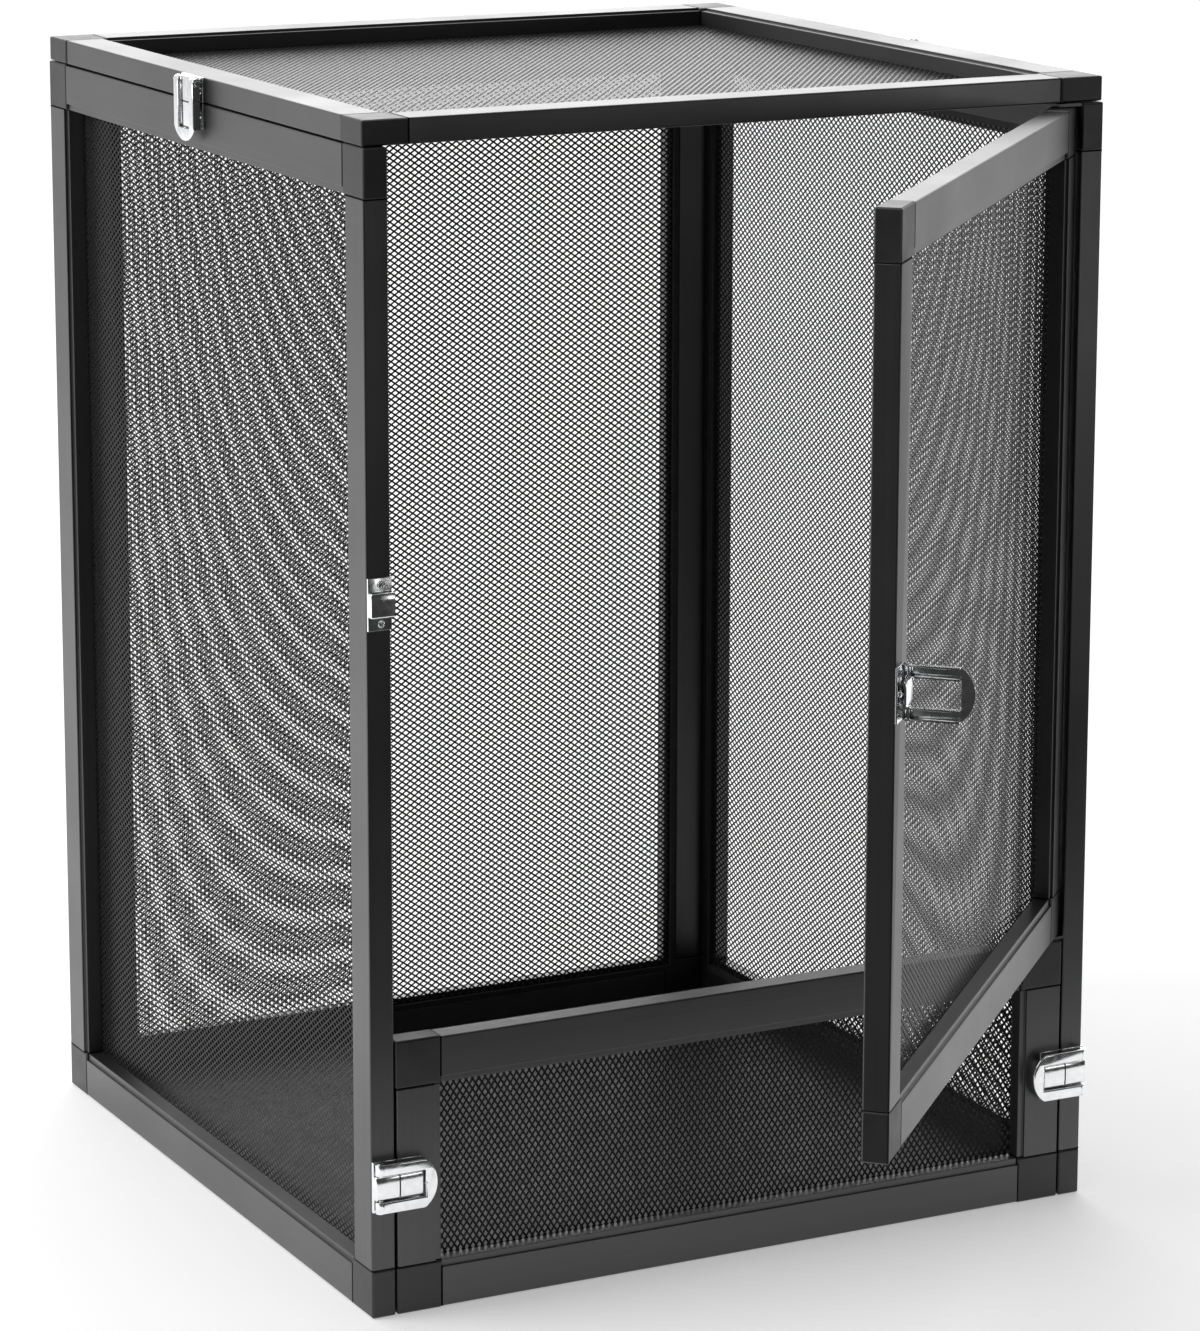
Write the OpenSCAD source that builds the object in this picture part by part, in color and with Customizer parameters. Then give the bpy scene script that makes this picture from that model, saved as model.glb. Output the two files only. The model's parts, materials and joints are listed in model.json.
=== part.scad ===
// Screened terrarium: four framed walls, a lift-off lid, a swing door above a pull-out lower panel
// Millimetres. +Z is up, -Y is the front, the origin is the middle of the floor board's underside.

/* [Enclosure] */
// Overall width, left to right
overall_w = 420; // [320:5:600]
// Overall depth, front to back
overall_d = 420; // [320:5:600]
// Height of the walls, without the lid
body_h = 593; // [420:1:900]
// Thickness of the floor board
floor_t = 5; // [3:0.5:9]

/* [Lid] */
// How far the lid's front and rear edges lie inside the walls' outer faces
lid_inset = 1.5; // [0:0.1:2]
// Gap between the walls' corners and the lid
lid_gap = 0.4; // [0.3:0.1:0.9]

/* [Lower panel] */
// Height of the lower front panel
panel_h = 144; // [100:1:220]
// Gap between the front panels and the side walls
side_gap = 0.8; // [0.5:0.1:0.9]
// Gap between the lower panel and the floor board behind it
floor_gap = 0.4; // [0.3:0.1:0.9]

/* [Door] */
// How far the door stands open
door_open = 46; // [0:1:90]
// Gap above and below each hinge bracket
hinge_gap = 0.4; // [0.3:0.1:0.8]

/* [Frame profile] */
// Width of a rail, from its outer edge to its inner edge
rail_w = 25; // [24:0.5:32]
// Thickness of a rail
rail_t = 13; // [12.5:0.5:16]
// Wall of the hollow rail
wall = 1.3; // [1:0.1:1.6]
// Width of the lip along the rail's inner edge
lip_w = 3.5; // [3:0.1:4.5]
// Depth of the step down to the lip
lip_drop = 1.5; // [0.8:0.1:2]
// Depth of the screen behind the rail's outer face
screen_depth = 9.8; // [9:0.1:10.2]
// Bevel on the rail's long edges
rail_bevel = 0.5; // [0.2:0.1:1]

/* [Corner connectors] */
// How far a connector stands out past the rails' outer edge
corner_proud = 0.5; // [0.1:0.1:0.8]
// Bevel round a connector
corner_bevel = 0.8; // [0.2:0.1:1.2]
// Width of the seam between a connector and a rail's end
seam_w = 0.3; // [0.1:0.1:0.8]
// Length of a connector's leg inside a rail
leg_len = 22; // [12:1:40]
// Clearance round a leg
leg_clear = 0.2; // [0.1:0.05:0.4]

/* [Screen and spline] */
// Thickness of the screen
screen_t = 0.6; // [0.3:0.1:0.9]
// Width of a diamond opening in the screen
opening_w = 34; // [30:1:60]
// Height of a diamond opening in the screen
opening_h = 49; // [40:1:80]
// Width of the screen's slanted bars
bar_w = 4; // [2:0.5:6]
// Width of the solid edge that shows inside the frame
screen_margin = 1; // [0.5:0.5:3]
// Width of the spline groove
groove_w = 3.6; // [3:0.1:4.4]
// Depth of the groove's floor behind the rail's outer face
groove_floor = 8; // [7:0.1:8.6]
// Clearance of the spline and the screen in the frame
spline_clear = 0.2; // [0.1:0.05:0.4]
// How far the spline lies below the rail's inner face
spline_sink = 0.6; // [0.2:0.1:1]

/* [Door hinge] */
// Diameter of a hinge pin
pin_d = 4; // [3:0.5:5]
// Radial clearance of the pin in the door
pin_clear = 0.05; // [0.02:0.01:0.1]
// Radial clearance of the pin in its bracket
pin_seat = 0.02; // [0.01:0.01:0.05]
// Depth of the pin in the door's corner
pin_depth = 12; // [8:1:20]
// Thickness of a hinge bracket
bracket_t = 1.6; // [1.2:0.1:2.4]
// Depth of the bracket's flange behind the door
bracket_reach = 11; // [9:0.5:12]
// Height of the bracket's flange
bracket_h = 20; // [14:1:30]
// Gap between the closed door and the bracket's flange
bracket_gap = 0.6; // [0.4:0.1:1]
// Radius of the hinge stile's outer edge
hinge_edge_r = 6.8; // [6.6:0.1:7]

/* [Latches] */
// Height of the two lower latches' middle above the floor
low_latch_z = 70; // [40:1:100]
// Height of the door latch's middle above the floor
door_latch_z = 369; // [240:1:400]
// Length of a latch plate, from the seam outwards
plate_len = 12.8; // [12:0.1:14]
// Width of a latch plate
plate_w = 26.4; // [25:0.1:28]
// Thickness of a latch plate
plate_t = 1; // [0.8:0.1:1.2]
// Gap from the seam's middle to each plate
seam_half = 0.4; // [0.3:0.05:0.45]
// Width of the raised block on a plate
block_w = 12.6; // [11:0.1:13.2]
// Height of the raised block's top above the frame's face
block_top = 5.2; // [4.8:0.1:5.4]
// Thickness of the raised block's sheet
block_t = 1; // [0.8:0.1:1.2]
// Distance of the lever's pivot from the seam's middle
pivot_back = 10.2; // [9.8:0.1:10.4]
// Height of the lever's pivot above the frame's face
pivot_up = 3.8; // [3.6:0.05:4]
// Diameter of the lever's pivot pins
latch_pin_d = 1.8; // [1.4:0.1:2]
// Radial clearance of the pivot pins
latch_pin_clear = 0.05; // [0.02:0.01:0.1]
// Radius of the lever's knuckle round the pivot
knuckle_r = 2.2; // [1.9:0.1:2.4]
// Width of the lever
lever_w = 26; // [25:0.1:28]
// Distance of the lever's round tip from the seam's middle
tip_out = 20.5; // [19:0.1:23]
// Radius of the lever's round tip
tip_r = 15.7; // [14:0.1:20]
// Clearance between the raised blocks and the lever's window
window_clear = 0.6; // [0.4:0.1:0.8]
// Gap between the block's top and the lever's plate
lever_lift = 0.3; // [0.3:0.05:0.5]
// Thickness of the lever's plate
lever_t = 1; // [0.8:0.1:1.2]
// Depth of the lever's folded edges
skirt_drop = 3.1; // [2:0.1:3.2]
// Thickness of the lever's folded edges
skirt_t = 0.7; // [0.5:0.05:0.8]
// Start of the lever's cross strap beyond the pivot
strap_from = 3.2; // [3.2:0.1:4]
// Width of the lever's cross strap
strap_w = 3.8; // [3:0.1:5]

/* [Screws] */
// Diameter of a screw head
head_d = 3.8; // [3:0.1:4]
// Height of a screw head
head_h = 0.9; // [0.6:0.1:1]
// Diameter of a screw shank
shank_d = 2.4; // [1.8:0.1:2.6]
// Radial clearance of a shank in its hole
shank_clear = 0.05; // [0.02:0.01:0.1]
// Distance of a plate's screws from the seam's middle
screw_out = 6.2; // [5:0.1:8]
// Distance of a plate's screws from its middle line
screw_off = 9.85; // [9.7:0.05:10]
// Width of the cross recess in a screw head
cross_w = 0.6; // [0.4:0.1:0.8]
// Diameter of the rivet head inside a raised block
rivet_d = 5.2; // [4:0.1:5.6]
// Height of the rivet head
rivet_h = 2.2; // [1.4:0.1:2.4]
// Radius of the rivet head's dome
rivet_dome_r = 3.4; // [3.2:0.1:5]

/* [Hidden] */
$fn = 48;
eps = 0.01;
half_w = overall_w / 2;
half_d = overall_d / 2;
inner_w = overall_w - 2 * rail_t;
inner_x = inner_w / 2;
front_y = -half_d;
panel_w = inner_w - 2 * side_gap;
lid_d = overall_d - 2 * lid_inset;
lid_z = body_h + lid_gap;
lid_top = lid_z + rail_t;
bracket_low_z = panel_h + hinge_gap;
bracket_top_z = body_h - bracket_t;
door_z = bracket_low_z + bracket_t + hinge_gap;
door_h = bracket_top_z - hinge_gap - door_z;
rail_end = rail_w + seam_w;
end_r = rail_t / 2;
pin_x = panel_w / 2 - end_r;
pin_y = front_y + end_r;
pin_r = pin_d / 2;
groove_out = rail_w - lip_w + 0.1 - groove_w;
groove_in = groove_out + groove_w;
leg_span = groove_out - 2 * wall - 2 * leg_clear;
leg_depth = rail_t - 2 * wall - 2 * leg_clear;
seam_x = inner_x - side_gap / 2;
seam_lid_z = body_h + lid_gap / 2;
lever_z = block_top + lever_lift;
window_half = block_w / 2 + window_clear;
window_end = seam_half + plate_len + window_clear;
flange_y = front_y + rail_t + bracket_gap;

metal = [0.20, 0.20, 0.21];
plastic = [0.24, 0.24, 0.25];
mesh_black = [0.12, 0.12, 0.13];
spline_black = [0.05, 0.05, 0.05];
chrome = [0.85, 0.86, 0.87];
board = [0.10, 0.10, 0.10];

// Flat frames are drawn lying down: x to the right and y up as seen from outside, the outer face at z = 0
module at_front(z) translate([-panel_w / 2, front_y, z]) rotate([90, 0, 0]) children();
module at_back() translate([inner_x, half_d, 0]) rotate([90, 0, 180]) children();
module at_left() translate([-half_w, half_d, 0]) rotate([90, 0, -90]) children();
module at_right() translate([half_w, -half_d, 0]) rotate([90, 0, 90]) children();
module at_lid() translate([-half_w, -lid_d / 2, lid_top]) children();

// The door turns about its pins
module at_door() {
    translate([pin_x, pin_y, 0]) rotate([0, 0, door_open]) translate([-pin_x, -pin_y, 0])
        at_front(door_z) children();
}

// A square with its corners cut off
module eased_square(a, b, c) {
    polygon([[c, 0], [a - c, 0], [a, c], [a, b - c], [a - c, b], [c, b], [0, b - c], [0, c]]);
}

// A block with all its edges bevelled
module eased_box(a, b, h, c) {
    intersection() {
        linear_extrude(h) eased_square(a, b, c);
        translate([0, b, 0]) rotate([90, 0, 0]) linear_extrude(b) eased_square(a, h, c);
        rotate([90, 0, 90]) linear_extrude(a) eased_square(b, h, c);
    }
}

// Outline of the rail's inner half: lip, ledge for the screen and spline groove
module rail_inner_half(from) {
    polygon([
        [from, 0], [rail_w - lip_w, 0], [rail_w - lip_w, -lip_drop], [rail_w, -lip_drop],
        [rail_w, -screen_depth], [groove_in, -screen_depth], [groove_in, -groove_floor],
        [groove_out, -groove_floor], [groove_out, -rail_t], [from, -rail_t]
    ]);
}

module rail_channel(from) {
    translate([from, wall - rail_t]) square([groove_out - wall - from, rail_t - 2 * wall]);
}

module lip_channel() {
    translate([groove_out, wall - groove_floor])
        square([rail_w - wall - groove_out, groove_floor - lip_drop - 2 * wall]);
}

// Section of a rail, its outer edge at the left
module rail_section() {
    difference() {
        union() {
            rail_inner_half(end_r);
            translate([corner_proud, 0]) polygon([
                [rail_bevel, 0], [end_r, 0], [end_r, -rail_t], [rail_bevel, -rail_t],
                [0, rail_bevel - rail_t], [0, -rail_bevel]
            ]);
        }
        rail_channel(corner_proud + wall);
        lip_channel();
    }
}

module rail(len) rotate([90, 0, 90]) linear_extrude(len) rail_section();

// Rail of the door's hinge stile, its outer edge round
module hinge_rail(len) rotate([90, 0, 90]) difference() {
    union() {
        linear_extrude(len) rail_inner_half(end_r);
        intersection() {
            translate([corner_proud + hinge_edge_r, -end_r, 0]) cylinder(r = hinge_edge_r, h = len);
            translate([0, -rail_t, 0]) cube([rail_t, rail_t, len]);
        }
    }
    translate([0, 0, -eps]) linear_extrude(len + 2 * eps) {
        rail_channel(end_r);
        lip_channel();
    }
}

// Rails and stiles of a frame w wide and h high
module low_rail(w) color(metal) translate([rail_end, 0, 0]) rail(w - 2 * rail_end);
module high_rail(w, h) color(metal) translate([w - rail_end, h, 0]) rotate([0, 0, 180]) rail(w - 2 * rail_end);
module left_stile(h) color(metal) translate([0, h - rail_end, 0]) rotate([0, 0, -90]) rail(h - 2 * rail_end);
module right_stile(w, h) color(metal) translate([w, rail_end, 0]) rotate([0, 0, 90]) rail(h - 2 * rail_end);

// A leg along x that plugs into a rail
module leg(from) {
    translate([rail_w - 1, from, wall + leg_clear - rail_t])
        cube([leg_len + 1, groove_out - wall - leg_clear - from, leg_depth]);
}

// The spline groove and the screen's ledge turn the corner in the connector
module corner_relief() {
    far = rail_w - groove_out + eps;
    translate([groove_out, groove_out, -rail_t - eps]) {
        cube([far, groove_w, rail_t - groove_floor + eps]);
        cube([groove_w, far, rail_t - groove_floor + eps]);
        cube([far, far, rail_t - screen_depth + eps]);
    }
}

module corner() {
    difference() {
        union() {
            translate([0, 0, -rail_t]) eased_box(rail_w, rail_w, rail_t, corner_bevel);
            leg(wall + leg_clear + corner_proud);
            mirror([1, -1, 0]) leg(wall + leg_clear + corner_proud);
        }
        corner_relief();
    }
}

// Connector on the door's hinge side: its outer edge is round and holds the pin's bore, along x
module hinge_corner() {
    difference() {
        union() {
            intersection() {
                translate([0, 0, -rail_t]) eased_box(rail_w, rail_w, rail_t, corner_bevel);
                union() {
                    translate([-eps, end_r, -rail_t - eps]) cube([rail_w + 1, rail_w, rail_t + 1]);
                    translate([-eps, end_r, -end_r]) rotate([0, 90, 0]) cylinder(r = end_r, h = rail_w + 1);
                }
            }
            leg(end_r + leg_clear);
            mirror([1, -1, 0]) leg(wall + leg_clear + corner_proud);
        }
        corner_relief();
        translate([-eps, end_r, -end_r]) rotate([0, 90, 0])
            cylinder(r = pin_r + pin_clear, h = pin_depth + 1);
    }
}

module left_pair(h) {
    corner();
    translate([0, h, 0]) rotate([0, 0, -90]) corner();
}

module corners(w, h) color(plastic) {
    left_pair(h);
    translate([w, h, 0]) rotate([0, 0, 180]) left_pair(h);
}

// Diamond openings between slanted bars, as many whole cells as come nearest to the wanted size
module openings(w, h) {
    across = max(1, round(w / opening_w));
    rows = max(1, round(h / opening_h));
    cell_w = w / across;
    cell_h = h / rows;
    share = 1 - bar_w * norm([cell_w, cell_h]) / (cell_w * cell_h);
    out = share * cell_w / 2;
    up = share * cell_h / 2;
    for (i = [0 : 2 * across], j = [0 : 2 * rows]) if ((i + j) % 2 == 1)
        translate([i * cell_w / 2, j * cell_h / 2]) polygon([[-out, 0], [0, -up], [out, 0], [0, up]]);
}

// The screen, solid along the edge that the frame holds
module screen(w, h) {
    inset = groove_in + spline_clear;
    edge = rail_w + screen_margin;
    color(mesh_black) translate([0, 0, -screen_depth - screen_t]) linear_extrude(screen_t) difference() {
        translate([inset, inset]) square([w - 2 * inset, h - 2 * inset]);
        translate([edge, edge]) intersection() {
            square([w - 2 * edge, h - 2 * edge]);
            openings(w - 2 * edge, h - 2 * edge);
        }
    }
}

module spline(w, h) {
    out = groove_out + spline_clear;
    thick = groove_w - 2 * spline_clear;
    color(spline_black) translate([out, out, spline_sink - rail_t])
        linear_extrude(rail_t - spline_sink - groove_floor - spline_clear) difference() {
            square([w - 2 * out, h - 2 * out]);
            translate([thick, thick]) square([w - 2 * (out + thick), h - 2 * (out + thick)]);
        }
}

// Latches are drawn with x across the seam towards the lever's tip, y along the pivot, the face at z = 0
module screw_pair(u, lift) {
    for (side = [-1, 1]) translate([u, side * screw_off, lift]) children();
}

module screw() {
    color(chrome) difference() {
        union() {
            translate([0, 0, -plate_t]) cylinder(d = shank_d, h = plate_t + eps);
            cylinder(d = head_d, h = head_h);
        }
        for (turn = [0, 90]) rotate([0, 0, turn])
            translate([-head_d / 3, -cross_w / 2, head_h / 2]) cube([head_d / 1.5, cross_w, head_h]);
    }
}

module rivet() {
    color(chrome) {
        translate([0, 0, -plate_t]) cylinder(d = shank_d, h = plate_t + eps);
        intersection() {
            cylinder(d = rivet_d, h = rivet_h);
            translate([0, 0, rivet_h - rivet_dome_r]) sphere(r = rivet_dome_r);
        }
    }
}

// The two screws of a latch half and the rivet inside its block
module fixings(u) {
    screw_pair(u, plate_t) screw();
    translate([u, 0, plate_t]) rivet();
}

module screw_hole(depth) cylinder(d = shank_d + 2 * shank_clear, h = depth, center = true);

// A plate with its raised block, which is hollow and open at the seam
module latch_half(drop) {
    through = 2 * (plate_t + drop) + eps;
    difference() {
        union() {
            translate([seam_half, -plate_w / 2, -drop]) cube([plate_len, plate_w, plate_t + drop]);
            translate([seam_half, -block_w / 2, 0]) cube([plate_len, block_w, block_top]);
        }
        translate([seam_half - eps, block_t - block_w / 2, plate_t])
            cube([plate_len - block_t, block_w - 2 * block_t, block_top - block_t - plate_t]);
        screw_pair(screw_out, 0) screw_hole(through);
        translate([screw_out, 0, 0]) screw_hole(through);
    }
}

module keeper(drop) color(chrome) latch_half(drop);

// A bore or pin along the lever's pivot, through both side walls of the block
module at_pivot_ends() {
    for (side = [0, 1]) mirror([0, side, 0])
        translate([-pivot_back, block_w / 2 - block_t, pivot_up]) rotate([-90, 0, 0]) children();
}

module hinge_half(drop) color(chrome) difference() {
    mirror([1, 0, 0]) latch_half(drop);
    at_pivot_ends() translate([0, 0, -eps]) cylinder(d = latch_pin_d + 2 * latch_pin_clear, h = 2 * block_t);
}

module lever_outline() {
    difference() {
        union() {
            translate([-pivot_back, -lever_w / 2]) square([pivot_back + window_end, lever_w]);
            intersection() {
                translate([tip_out - tip_r, 0]) circle(r = tip_r, $fn = 96);
                translate([window_end - 2, -lever_w / 2]) square([tip_out, lever_w]);
            }
        }
        translate([-pivot_back - 1, -window_half]) square([pivot_back + 1 + window_end, 2 * window_half]);
    }
}

// One folded edge of the lever, with its share of the knuckle
module skirt(from, thick) {
    translate([-pivot_back, from + thick, 0]) rotate([90, 0, 0]) linear_extrude(thick) {
        translate([0, lever_z - skirt_drop]) square([pivot_back + window_end, skirt_drop + lever_t]);
        translate([0, pivot_up]) circle(r = knuckle_r);
    }
}

module lever_side() {
    skirt(window_half, skirt_t);
    skirt(lever_w / 2 - skirt_t, skirt_t);
}

// The lever, turned open about its pivot
module lever(open) {
    color(chrome) translate([-pivot_back, 0, pivot_up]) rotate([0, -open, 0])
        translate([pivot_back, 0, -pivot_up]) {
            translate([0, 0, lever_z]) linear_extrude(lever_t) lever_outline();
            translate([strap_from - pivot_back, -window_half - skirt_t / 2, lever_z])
                cube([strap_w, 2 * window_half + skirt_t, lever_t]);
            lever_side();
            mirror([0, 1, 0]) lever_side();
            at_pivot_ends() cylinder(d = latch_pin_d, h = lever_w / 2 - block_w / 2 + block_t);
        }
}

module at_low_latch() translate([-seam_x, front_y, low_latch_z]) rotate([90, 0, 0]) children();
module at_lid_latch() at_left() translate([half_d, seam_lid_z, 0]) rotate([0, 0, -90]) children();
module at_door_latch() at_door()
    translate([-side_gap / 2, door_latch_z - door_z, 0]) rotate([0, 0, 180]) children();
module at_door_keeper() translate([-seam_x, front_y, door_latch_z]) rotate([90, 180, 0]) children();
module both_sides() {
    children();
    mirror([1, 0, 0]) children();
}

// Left wall; seen from outside, its front edge is on the right
module left_front_post() at_left() right_stile(overall_d, body_h);
module left_rear_post() at_left() left_stile(body_h);
module left_top_rail() at_left() high_rail(overall_d, body_h);
module left_bottom_rail() at_left() low_rail(overall_d);
module left_corners() at_left() corners(overall_d, body_h);
module left_screen() at_left() screen(overall_d, body_h);

// Right wall; seen from outside, its front edge is on the left
module right_front_post() at_right() left_stile(body_h);
module right_rear_post() at_right() right_stile(overall_d, body_h);
module right_top_rail() at_right() high_rail(overall_d, body_h);
module right_bottom_rail() at_right() low_rail(overall_d);
module right_corners() at_right() corners(overall_d, body_h);
module right_screen() at_right() screen(overall_d, body_h);

// Back wall, between the side walls
module back_left_stile() at_back() right_stile(inner_w, body_h);
module back_right_stile() at_back() left_stile(body_h);
module back_top_rail() at_back() high_rail(inner_w, body_h);
module back_bottom_rail() at_back() low_rail(inner_w);
module back_corners() at_back() corners(inner_w, body_h);
module back_screen() at_back() screen(inner_w, body_h);

module floor_board() {
    depth = overall_d - 2 * rail_t - floor_gap;
    color(board) translate([-inner_x, half_d - rail_t - depth, 0]) cube([inner_w, depth, floor_t]);
}

module enclosure_splines() {
    at_left() spline(overall_d, body_h);
    at_right() spline(overall_d, body_h);
    at_back() spline(inner_w, body_h);
}

module lower_latch_plates() both_sides() at_low_latch() hinge_half(corner_proud);
module door_keeper() at_door_keeper() keeper(corner_proud);
module lid_keepers() both_sides() at_lid_latch() keeper(0);

// Bracket that holds a door pin; its flange is screwed to the right post behind the door
module hinge_bracket(plate_z, flange_z) {
    color(chrome) difference() {
        union() {
            translate([pin_x - end_r, front_y + 1, plate_z])
                cube([inner_x - pin_x + end_r, rail_t + bracket_reach - 1, bracket_t]);
            translate([inner_x - bracket_t, flange_y, flange_z])
                cube([bracket_t, bracket_reach - bracket_gap, bracket_h]);
        }
        translate([pin_x, pin_y, plate_z - 1]) cylinder(r = pin_r + pin_seat, h = bracket_t + 2);
        at_bracket_screw(flange_z) screw_hole(4 * bracket_t);
    }
}

module at_bracket_screw(flange_z) {
    translate([inner_x - bracket_t, flange_y + (bracket_reach - bracket_gap) / 2, flange_z + bracket_h / 2])
        rotate([0, -90, 0]) children();
}

low_flange_z = bracket_low_z + bracket_t - eps;
top_flange_z = bracket_top_z - bracket_h + eps;

module hinge_brackets() {
    hinge_bracket(bracket_low_z, low_flange_z);
    hinge_bracket(bracket_top_z, top_flange_z);
}

module hinge_pins() {
    len = bracket_t + hinge_gap + pin_depth;
    for (z = [bracket_low_z, bracket_top_z + bracket_t - len])
        color(chrome) translate([pin_x, pin_y, z]) cylinder(r = pin_r, h = len);
}

module enclosure_screws() {
    both_sides() at_low_latch() fixings(-screw_out);
    both_sides() at_lid_latch() fixings(screw_out);
    at_door_keeper() fixings(screw_out);
    for (z = [low_flange_z, top_flange_z]) at_bracket_screw(z) screw();
}

// Lower front panel
module panel_left_stile() at_front(0) left_stile(panel_h);
module panel_right_stile() at_front(0) right_stile(panel_w, panel_h);
module panel_top_rail() at_front(0) high_rail(panel_w, panel_h);
module panel_bottom_rail() at_front(0) low_rail(panel_w);
module panel_corners() at_front(0) corners(panel_w, panel_h);
module panel_screen() at_front(0) screen(panel_w, panel_h);
module panel_spline() at_front(0) spline(panel_w, panel_h);
module panel_keepers() both_sides() at_low_latch() keeper(0);
module panel_screws() both_sides() at_low_latch() fixings(screw_out);

// Door, hinged on the right as seen from the front
module door_latch_stile() at_door() left_stile(door_h);
module door_hinge_stile() at_door() color(metal)
    translate([panel_w, rail_end, 0]) rotate([0, 0, 90]) hinge_rail(door_h - 2 * rail_end);
module door_top_rail() at_door() high_rail(panel_w, door_h);
module door_bottom_rail() at_door() low_rail(panel_w);
module door_corners() at_door() color(plastic) {
    left_pair(door_h);
    translate([panel_w, 0, 0]) rotate([0, 0, 90]) hinge_corner();
    translate([panel_w, door_h, 0]) mirror([0, 1, 0]) rotate([0, 0, 90]) hinge_corner();
}
module door_screen() at_door() screen(panel_w, door_h);
module door_spline() at_door() spline(panel_w, door_h);
module door_latch_plate() at_door_latch() hinge_half(0);
module door_screws() at_door_latch() fixings(-screw_out);

// Lid
module lid_front_rail() at_lid() low_rail(overall_w);
module lid_rear_rail() at_lid() high_rail(overall_w, lid_d);
module lid_left_rail() at_lid() left_stile(lid_d);
module lid_right_rail() at_lid() right_stile(overall_w, lid_d);
module lid_corners() at_lid() corners(overall_w, lid_d);
module lid_screen() at_lid() screen(overall_w, lid_d);
module lid_spline() at_lid() spline(overall_w, lid_d);
module lid_latch_plates() both_sides() at_lid_latch() hinge_half(corner_proud);
module lid_screws() both_sides() at_lid_latch() fixings(-screw_out);

// Latch levers
module lower_latch_left() at_low_latch() lever(0);
module lower_latch_right() mirror([1, 0, 0]) at_low_latch() lever(0);
module lid_latch_left() at_lid_latch() lever(0);
module lid_latch_right() mirror([1, 0, 0]) at_lid_latch() lever(0);
module door_latch() at_door_latch() lever(90);

left_front_post();
left_rear_post();
left_top_rail();
left_bottom_rail();
left_corners();
left_screen();
right_front_post();
right_rear_post();
right_top_rail();
right_bottom_rail();
right_corners();
right_screen();
back_left_stile();
back_right_stile();
back_top_rail();
back_bottom_rail();
back_corners();
back_screen();
floor_board();
enclosure_splines();
lower_latch_plates();
door_keeper();
lid_keepers();
hinge_brackets();
hinge_pins();
enclosure_screws();
panel_left_stile();
panel_right_stile();
panel_top_rail();
panel_bottom_rail();
panel_corners();
panel_screen();
panel_spline();
panel_keepers();
panel_screws();
door_latch_stile();
door_hinge_stile();
door_top_rail();
door_bottom_rail();
door_corners();
door_screen();
door_spline();
door_latch_plate();
door_screws();
lid_front_rail();
lid_rear_rail();
lid_left_rail();
lid_right_rail();
lid_corners();
lid_screen();
lid_spline();
lid_latch_plates();
lid_screws();
lower_latch_left();
lower_latch_right();
lid_latch_left();
lid_latch_right();
door_latch();
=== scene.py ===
# %% [markdown]
# # The finish of a screened terrarium
# The solid model arrives as a fixed frame: three framed walls, a low front panel, a lid, a door standing
# open, and five latches. Everything made here is laid over that frame, so the frame is loaded first and
# nothing in it is moved. The finished piece has to stay inside it.

# %% Load the frame
import json
import math

import bmesh
import bpy
import numpy as np
from mathutils import Matrix, Vector
from mathutils.geometry import tessellate_polygon


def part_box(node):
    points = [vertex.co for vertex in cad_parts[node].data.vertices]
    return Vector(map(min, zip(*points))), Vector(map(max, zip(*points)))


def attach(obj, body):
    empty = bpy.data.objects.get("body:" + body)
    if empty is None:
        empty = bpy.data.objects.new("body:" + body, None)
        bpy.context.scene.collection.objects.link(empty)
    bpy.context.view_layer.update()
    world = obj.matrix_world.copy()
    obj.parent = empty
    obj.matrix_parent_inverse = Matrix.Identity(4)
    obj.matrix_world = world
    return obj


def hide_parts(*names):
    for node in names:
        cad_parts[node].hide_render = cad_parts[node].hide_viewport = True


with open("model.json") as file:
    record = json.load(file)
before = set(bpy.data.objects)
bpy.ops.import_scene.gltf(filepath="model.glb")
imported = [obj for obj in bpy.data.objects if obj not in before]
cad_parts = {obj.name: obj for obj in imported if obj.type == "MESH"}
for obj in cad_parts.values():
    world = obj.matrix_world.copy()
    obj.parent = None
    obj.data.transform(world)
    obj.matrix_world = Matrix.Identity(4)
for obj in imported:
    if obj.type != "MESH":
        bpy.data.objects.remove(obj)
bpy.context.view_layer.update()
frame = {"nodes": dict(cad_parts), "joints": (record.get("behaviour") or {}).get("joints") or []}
MM = 0.001
JOINTS = {joint["name"]: joint for joint in frame["joints"]}

# %% [markdown]
# ## The camera
# The picture is taken from the front, some way round to the left, and from above the lid. A long lens keeps
# the uprights nearly parallel. The camera looks down by twelve degrees, and a small shift keeps the object in
# the middle of the picture without tilting the camera any further.

# %% Place the camera
CAMERA_AT = Vector((-1.1659, -2.3232, 0.8962))
CAMERA_AZIMUTH = -27.15
CAMERA_ELEVATION = 12.16
CAMERA_ROLL = 0.11
LENS = 131.7
SENSOR = 36
SHIFT_UP = -0.087
SEES_TO = 30


def looking(azimuth, elevation, roll):
    """Rotation of a camera that looks back along its azimuth and elevation, in degrees."""
    turn, tilt = math.radians(azimuth), math.radians(elevation)
    back = Vector((math.sin(turn) * math.cos(tilt), -math.cos(turn) * math.cos(tilt), math.sin(tilt)))
    return (-back).to_track_quat("-Z", "Y").to_matrix() @ Matrix.Rotation(math.radians(roll), 3, "Z")


camera = bpy.data.objects.new("camera", bpy.data.cameras.new("camera"))
bpy.context.scene.collection.objects.link(camera)
camera.matrix_world = (
    Matrix.Translation(CAMERA_AT) @ looking(CAMERA_AZIMUTH, CAMERA_ELEVATION, CAMERA_ROLL).to_4x4()
)
camera.data.lens = LENS
camera.data.sensor_width = SENSOR
camera.data.shift_y = SHIFT_UP
camera.data.clip_end = SEES_TO
bpy.context.scene.camera = camera
print("camera stands", round(CAMERA_AT.length, 2), "m from the frame's origin")
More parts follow.
